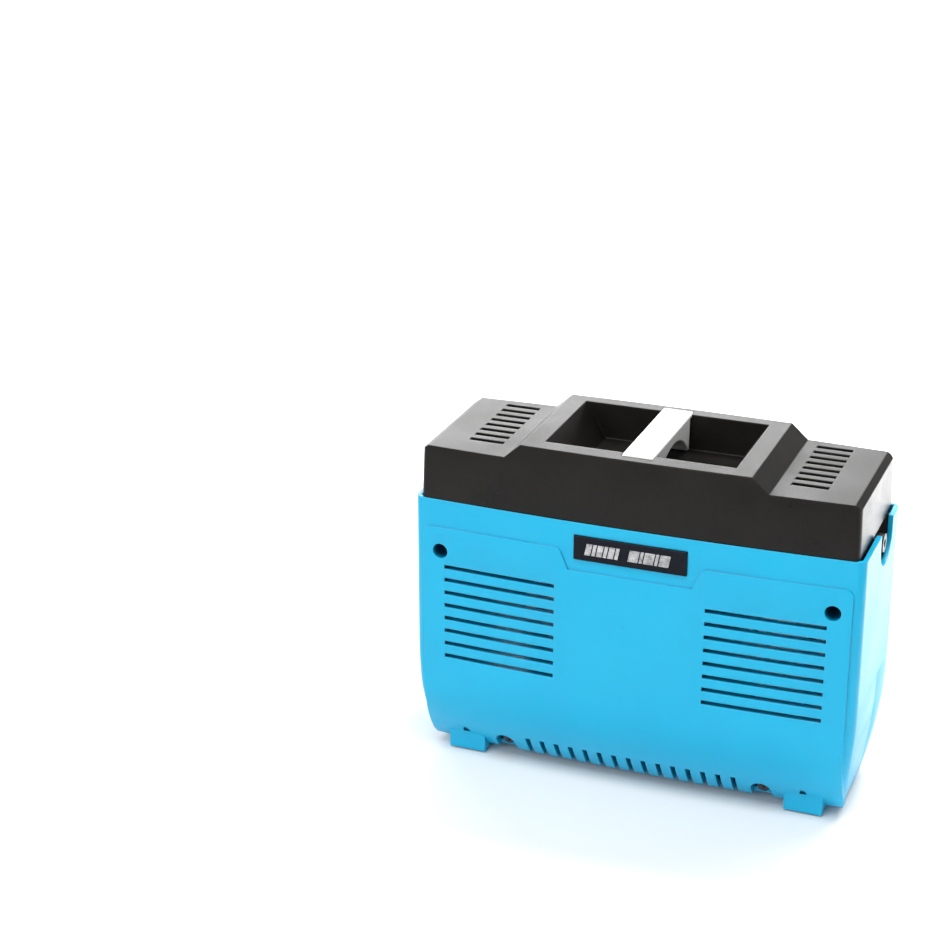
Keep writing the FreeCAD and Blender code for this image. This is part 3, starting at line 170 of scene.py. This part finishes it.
looks = {
    # the blue shell is darkened towards navy in its slots, bores and hollows: painted shade
    "blueShell": dict(colour=(0.0, 0.44, 0.72), colourTwo=(0.0, 0.41, 0.69), cloudScale=18, grainScale=1400,
                      rough=0.34, ior=1.45, roughSwing=0.04, bump=0.12, bumpDepth=0.0002, edge=0.0006,
                      wear=0.25, wearColour=(0.25, 0.62, 0.86), paintedCreviceShade=0.92, paintedShadeReach=0.012,
                      paintedShadeColour=(0.0, 0.03, 0.09)),
    "blackCover": dict(colour=(0.0060, 0.0050, 0.0046), colourTwo=(0.0105, 0.0088, 0.0078), cloudScale=30,
                       grainScale=1500, rough=0.34, ior=1.3, roughSwing=0.05, bump=0.3, bumpDepth=0.0003,
                       edge=0.0009, wear=0.3, wearColour=(0.09, 0.085, 0.08)),
    "whiteGrip": dict(colour=(0.82, 0.82, 0.81), colourTwo=(0.76, 0.76, 0.75), cloudScale=40,
                      grainScale=1600, rough=0.42, roughSwing=0.05, bump=0.1, bumpDepth=0.0002, edge=0.0007,
                      wear=0.15, wearColour=(0.6, 0.59, 0.57)),
    "footRubber": dict(colour=(0.02, 0.02, 0.02), colourTwo=(0.035, 0.034, 0.033), cloudScale=90,
                       grainScale=1200, rough=0.8, roughSwing=0.08, bump=0.4, bumpDepth=0.0003,
                       edge=0.0005),
    "screwSteel": dict(colour=(0.09, 0.09, 0.1), colourTwo=(0.05, 0.05, 0.055), cloudScale=240,
                       grainScale=2600, rough=0.42, roughSwing=0.1, bump=0.2, bumpDepth=0.0001, edge=0.0002,
                       metal=1.0),
    "plateBlack": dict(colour=(0.004, 0.006, 0.011), colourTwo=(0.007, 0.009, 0.016), cloudScale=60,
                       grainScale=700, rough=0.2, roughSwing=0.04, bump=0.05, bumpDepth=0.0002, edge=0.0005,
                       ior=1.22),
    "silverMark": dict(colour=(0.66, 0.66, 0.67), colourTwo=(0.2, 0.2, 0.21), cloudScale=420,
                       grainScale=1900, rough=0.35, roughSwing=0.12, bump=0.3, bumpDepth=0.0002,
                       edge=0.0001, metal=0.6),
    "darkNickel": dict(colour=(0.06, 0.058, 0.055), colourTwo=(0.03, 0.029, 0.028), cloudScale=180,
                       grainScale=1800, rough=0.4, roughSwing=0.08, bump=0.15, bumpDepth=0.0001,
                       edge=0.0003, metal=1.0),
    "brass": dict(colour=(0.66, 0.47, 0.2), colourTwo=(0.5, 0.34, 0.14), cloudScale=160, grainScale=1800,
                  rough=0.28, roughSwing=0.08, bump=0.15, bumpDepth=0.0001, edge=0.0003, metal=1.0),
    "darkPlastic": dict(colour=(0.02, 0.02, 0.021), colourTwo=(0.03, 0.03, 0.03), cloudScale=70,
                        grainScale=1500, rough=0.42, roughSwing=0.06, bump=0.25, bumpDepth=0.0002,
                        edge=0.0004),
    "galvanised": dict(colour=(0.5, 0.51, 0.52), colourTwo=(0.36, 0.37, 0.39), cloudScale=60,
                       grainScale=900, rough=0.42, roughSwing=0.1, bump=0.15, bumpDepth=0.0002, edge=0.0003,
                       metal=1.0),
    "castAlloy": dict(colour=(0.6, 0.6, 0.61), colourTwo=(0.48, 0.48, 0.5), cloudScale=120, grainScale=1300,
                      rough=0.48, roughSwing=0.1, bump=0.5, bumpDepth=0.0003, edge=0.0003, metal=1.0),
    "turnedSteel": dict(colour=(0.62, 0.62, 0.63), colourTwo=(0.5, 0.5, 0.52), cloudScale=90,
                        grainScale=600, rough=0.25, roughSwing=0.08, bump=0.2, bumpDepth=0.0001,
                        edge=0.0002, metal=1.0, stretch=(14, 1, 1)),
    "laminations": dict(colour=(0.2, 0.2, 0.22), colourTwo=(0.13, 0.12, 0.13), cloudScale=80,
                        grainScale=500, rough=0.45, roughSwing=0.1, bump=0.6, bumpDepth=0.0004, edge=0.0003,
                        metal=0.7, stretch=(1, 1, 9)),
    "bobbin": dict(colour=(0.7, 0.67, 0.58), colourTwo=(0.62, 0.59, 0.5), cloudScale=80, grainScale=1100,
                   rough=0.5, roughSwing=0.06, bump=0.15, bumpDepth=0.0002, edge=0.0003),
    "copperWire": dict(colour=(0.55, 0.2, 0.07), colourTwo=(0.36, 0.12, 0.05), cloudScale=160,
                       grainScale=420, rough=0.3, roughSwing=0.1, bump=0.9, bumpDepth=0.0005, edge=0.0004,
                       metal=0.7, stretch=(0.4, 9, 0.4)),
    "felt": dict(colour=(0.7, 0.68, 0.62), colourTwo=(0.6, 0.57, 0.5), cloudScale=200, grainScale=1600,
                 rough=0.95, roughSwing=0.03, bump=0.9, bumpDepth=0.0006, edge=0.0003),
    "hoseRubber": dict(colour=(0.22, 0.22, 0.22), colourTwo=(0.3, 0.3, 0.29), cloudScale=90,
                       grainScale=1300, rough=0.5, roughSwing=0.08, bump=0.2, bumpDepth=0.0002,
                       edge=0.0002),
}
materials = {name: finish(name, look) for name, look in looks.items()}
slotLooks = {
    "blue_shell": "blueShell", "black_cover": "blackCover", "white_grip": "whiteGrip", "foot_rubber": "footRubber",
    "screw_steel": "screwSteel", "badge": "plateBlack", "outlet_cup": "darkPlastic", "outlet_brass": "darkNickel",
    "switch_black": "darkPlastic", "rocker_black": "plateBlack", "inlet_black": "darkPlastic", "contact_brass": "brass",
    "bed_steel": "galvanised", "mount_rubber": "footRubber", "stand_alloy": "castAlloy", "cylinder_alloy": "castAlloy",
    "valve_steel": "turnedSteel", "reed_steel": "turnedSteel", "filter_plastic": "darkPlastic", "felt": "felt",
    "bolt_steel": "screwSteel", "piston_alloy": "castAlloy", "ring_plastic": "darkPlastic", "rod_steel": "turnedSteel",
    "core_steel": "laminations", "bracket_steel": "galvanised", "bobbin_plastic": "bobbin", "coil_copper": "copperWire",
    "spring_steel": "turnedSteel", "hose": "hoseRubber",
}
for part in frame["record"]["subparts"]:
    node = frame["nodes"][part["node"]]
    node.data.materials.clear()
    node.data.materials.append(materials[slotLooks[part["material_slot"]]])
print("materials on the frame")


# rounded edges: join the vertices, make flat faces whole, then add a narrow bevel of (width, steps)
edgeRounds = {
    "top_cover": (0.0010, 3), "grip_bar": (0.0010, 3), "front_shell": (0.0008, 3), "rear_shell": (0.0006, 2),
    "name_plate": (0.0006, 3), "outlet_cup": (0.0003, 2), "switch_housing": (0.0004, 2), "switch_rocker": (0.0003, 2),
    "mains_inlet": (0.0003, 2), "foot_pad_front_left": (0.0005, 2), "foot_pad_front_right": (0.0005, 2),
    "foot_pad_rear_left": (0.0005, 2), "foot_pad_rear_right": (0.0005, 2),
}
edgeLimits = {"join": 0.00001, "flatAngle": 0.2, "sharpAngle": 28}
for name, (width, steps) in edgeRounds.items():
    node = frame["nodes"][name]
    weld = node.modifiers.new("joinVertices", "WELD")
    weld.merge_threshold = edgeLimits["join"]
    flat = node.modifiers.new("wholeFaces", "DECIMATE")
    flat.decimate_type = "DISSOLVE"
    flat.angle_limit = math.radians(edgeLimits["flatAngle"])
    bevel = node.modifiers.new("softEdges", "BEVEL")
    bevel.width = width
    bevel.segments = steps
    bevel.limit_method = "ANGLE"
    bevel.angle_limit = math.radians(edgeLimits["sharpAngle"])
    bevel.harden_normals = True
print("edges rounded")


# plain slanted bars on the name plate, in groups of (start, widths)
plateMarks = {"proud": 0.00025, "lean": 0.0012, "high": 0.0062, "gap": 0.0006,
              "groups": ((-0.0236, (0.0030, 0.0018, 0.0030, 0.0018, 0.0030, 0.0018)),
                         (-0.0010, (0.0052, 0.0016, 0.0052, 0.0016, 0.0052)))}


def meshPiece(name, form, material):
    mesh = bpy.data.meshes.new(name)
    form.to_mesh(mesh)
    form.free()
    mesh.materials.append(materials[material])
    piece = bpy.data.objects.new(name, mesh)
    scene.collection.objects.link(piece)
    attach(piece, "case")
    return piece


def plateBars():
    low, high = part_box("name_plate")
    middle = (low.z + high.z) / 2
    form = bmesh.new()
    half = plateMarks["high"] / 2
    for start, widths in plateMarks["groups"]:
        x = start
        for wide in widths:
            corners = [(x, middle - half), (x + wide, middle - half),
                       (x + wide + plateMarks["lean"], middle + half), (x + plateMarks["lean"], middle + half)]
            front = [form.verts.new((px, low.y - plateMarks["proud"], pz)) for px, pz in corners]
            back = [form.verts.new((px, low.y + 0.0002, pz)) for px, pz in corners]
            form.faces.new(front)
            for step in range(4):
                form.faces.new((front[step], back[step], back[(step + 1) % 4], front[(step + 1) % 4]))
            x += wide + plateMarks["gap"]
    bmesh.ops.recalc_face_normals(form, faces=form.faces)
    meshPiece("plateBars", form, "silverMark")


plateBars()
print("name plate marks made")

# the ring that the moulding gate leaves on the front panel
gate = {"x": -0.0025, "z": 0.0948, "radii": (0.0011, 0.0013, 0.0018, 0.0020), "proud": (0.0, 0.00012, 0.00012, 0.0),
        "sides": 28}


def gateMark():
    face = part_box("front_shell")[0].y + 0.00002
    form = bmesh.new()
    rings = []
    for radius, proud in zip(gate["radii"], gate["proud"]):
        turns = [2 * math.pi * step / gate["sides"] for step in range(gate["sides"])]
        rings.append([form.verts.new((gate["x"] + radius * math.cos(a), face - proud, gate["z"] + radius * math.sin(a)))
                      for a in turns])
    for inner, outer in zip(rings, rings[1:]):
        for step in range(gate["sides"]):
            following = (step + 1) % gate["sides"]
            form.faces.new((inner[step], inner[following], outer[following], outer[step]))
    meshPiece("gateMark", form, "blueShell")


gateMark()
print("gate mark made")

spring = {"wire": 0.0009, "turns": 7, "steps": 26, "sides": 10, "travel": 0.007}


# the return spring, which shortens between its stand and the seat on the rod, drawn here as a coil of fixed length that
# fills the part's box and rides with the case
def coilSpring():
    low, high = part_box("return_spring")
    middle = (low + high) / 2
    reach = (high.z - low.z) / 2 - spring["wire"]
    count = spring["turns"] * spring["steps"]
    form = bmesh.new()
    rings = []
    for step in range(count + 1):
        angle = 2 * math.pi * step / spring["steps"]
        outward = Vector((0, math.cos(angle), math.sin(angle)))
        along = low.x + spring["wire"] + (high.x - low.x - 2 * spring["wire"]) * step / count
        centre = Vector((along, middle.y, middle.z)) + outward * reach
        around = [2 * math.pi * side / spring["sides"] for side in range(spring["sides"])]
        rings.append([form.verts.new(centre + (outward * math.cos(b) + Vector((math.sin(b), 0, 0))) * spring["wire"])
                      for b in around])
    for first, second in zip(rings, rings[1:]):
        for side in range(spring["sides"]):
            following = (side + 1) % spring["sides"]
            form.faces.new((first[side], first[following], second[following], second[side]))
    form.faces.new(rings[0])
    form.faces.new(rings[-1])
    bmesh.ops.recalc_face_normals(form, faces=form.faces)
    piece = meshPiece("coilSpring", form, "turnedSteel")
    piece.data.shade_smooth()
    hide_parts("return_spring")
    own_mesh(piece)


coilSpring()
print("return spring made")


# pale floor, soft lamps and camera
studio = {"floorColour": (0.86, 0.86, 0.86), "reach": 6.0, "backDistance": 3.2, "bend": 0.7, "world": 0.4}


def softBox(name, place, target, size, power, spread):
    data = bpy.data.lights.new(name, "AREA")
    data.shape = "RECTANGLE"
    data.size, data.size_y = size
    data.energy = power
    data.spread = math.radians(spread)
    lamp = bpy.data.objects.new(name, data)
    scene.collection.objects.link(lamp)
    lamp.location = place
    lamp.rotation_euler = (Vector(target) - Vector(place)).to_track_quat("-Z", "Y").to_euler()


def paleFloor():
    mesh = bpy.data.meshes.new("paleFloor")
    form = bmesh.new()
    reach, back, bend = studio["reach"], studio["backDistance"], studio["bend"]
    profile = [(-reach, 0.0)] + [(back - bend + bend * math.sin(a), bend - bend * math.cos(a))
                                 for a in [math.pi / 2 * step / 12 for step in range(13)]] + [(back, reach)]
    rows = [[form.verts.new((side * reach, y, z)) for y, z in profile] for side in (-1, 1)]
    for step in range(len(profile) - 1):
        form.faces.new((rows[0][step], rows[1][step], rows[1][step + 1], rows[0][step + 1]))
    form.to_mesh(mesh)
    form.free()
    mesh.shade_smooth()
    floor = bpy.data.objects.new("paleFloor", mesh)
    scene.collection.objects.link(floor)
    material, tree, shader = newMaterial("floorPaper")
    tone = noiseOf(tree, 3.0, 3.0)
    colour = studio["floorColour"]
    tree.links.new(mixOf(tree, tone.outputs["Fac"], colour, [c * 0.97 for c in colour]), shader.inputs["Base Color"])
    shader.inputs["Roughness"].default_value = 0.9
    mesh.materials.append(material)


paleFloor()
world = bpy.data.worlds.new("paleWorld")
world.use_nodes = True
world.node_tree.nodes["Background"].inputs["Color"].default_value = (1, 1, 1, 1)
world.node_tree.nodes["Background"].inputs["Strength"].default_value = studio["world"]
scene.world = world
scene.view_settings.view_transform = "Standard"

lamps = {
    "backWall": dict(place=(-1.15, 2.0, 0.8), target=(0, 0, 0.15), size=(2.1, 1.3), power=42, spread=180),
    "floorGlow": dict(place=(0.48, 0.78, 1.2), target=(0.48, 0.78, 0), size=(0.9, 0.9), power=27, spread=70),
    "frontFill": dict(place=(-0.7, -1.9, 1.2), target=(0, 0, 0.1), size=(1.6, 1.2), power=14, spread=180),
    "floorFront": dict(place=(-0.2, -0.75, 1.9), target=(-0.2, -0.75, 0), size=(1.6, 1.0), power=14, spread=110),
}
for name, lamp in lamps.items():
    softBox(name, lamp["place"], lamp["target"], lamp["size"], lamp["power"], lamp["spread"])

camera = {"place": (0.2946, -1.0037, 0.5818), "pitch": 21.95, "yaw": 21.45, "roll": -0.04, "lens": 83.42}
cameraData = bpy.data.cameras.new("camera")
cameraData.lens = camera["lens"]
cameraData.sensor_width = 36
cameraObject = bpy.data.objects.new("camera", cameraData)
cameraObject.location = camera["place"]
turn = (Matrix.Rotation(math.radians(camera["yaw"]), 4, "Z")
        @ Matrix.Rotation(math.radians(90 - camera["pitch"]), 4, "X"))
cameraObject.rotation_euler = (turn @ Matrix.Rotation(math.radians(camera["roll"]), 4, "Z")).to_euler()
scene.collection.objects.link(cameraObject)
scene.camera = cameraObject
print("studio ready")
